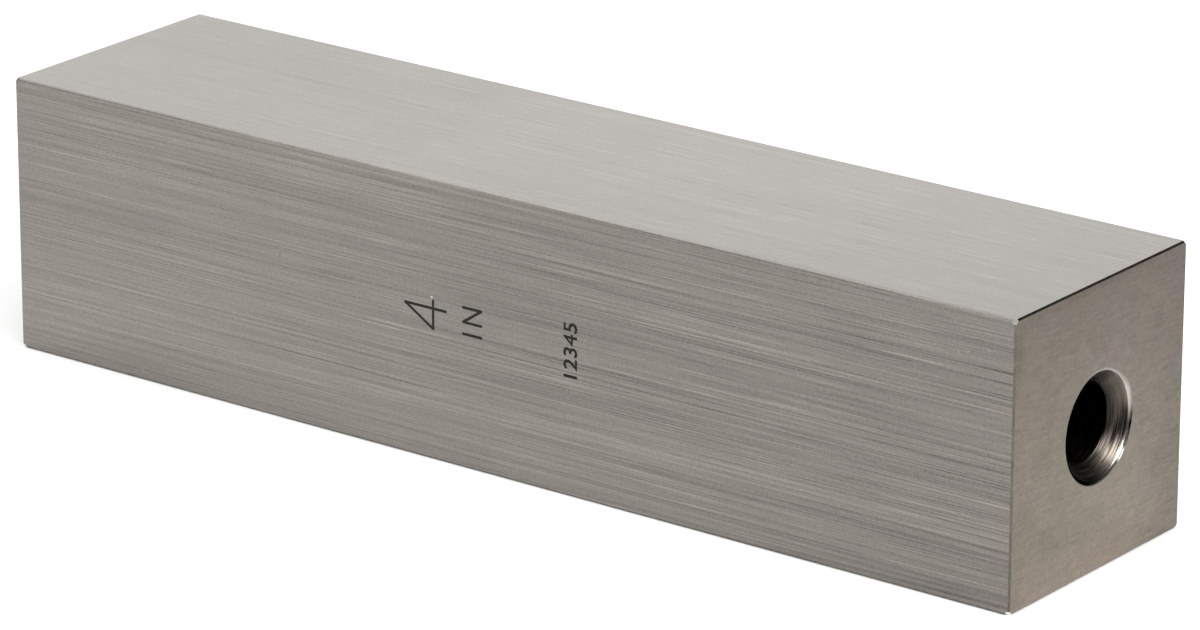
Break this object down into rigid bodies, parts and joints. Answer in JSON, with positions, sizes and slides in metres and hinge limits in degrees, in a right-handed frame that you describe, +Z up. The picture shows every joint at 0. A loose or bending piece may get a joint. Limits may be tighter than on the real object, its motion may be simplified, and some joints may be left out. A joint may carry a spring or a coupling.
{
  "type": "square gauge block",
  "caption": "Square-section steel length standard with two lapped end faces and a countersunk bore through its length for a tie rod.",
  "frame": {"origin": "middle of the side that the block lies on", "axes": "+X along the length, from one measuring face to the other; +Z up; the marked side faces -Y"},
  "size_m": [0.1016, 0.0242, 0.0241],
  "materials": {
    "gauge_steel": "ground sides, lapped measuring faces"
  },
  "bodies": {
    "root": {"gauge_block": "gauge_steel"}
  },
  "joints": []
}
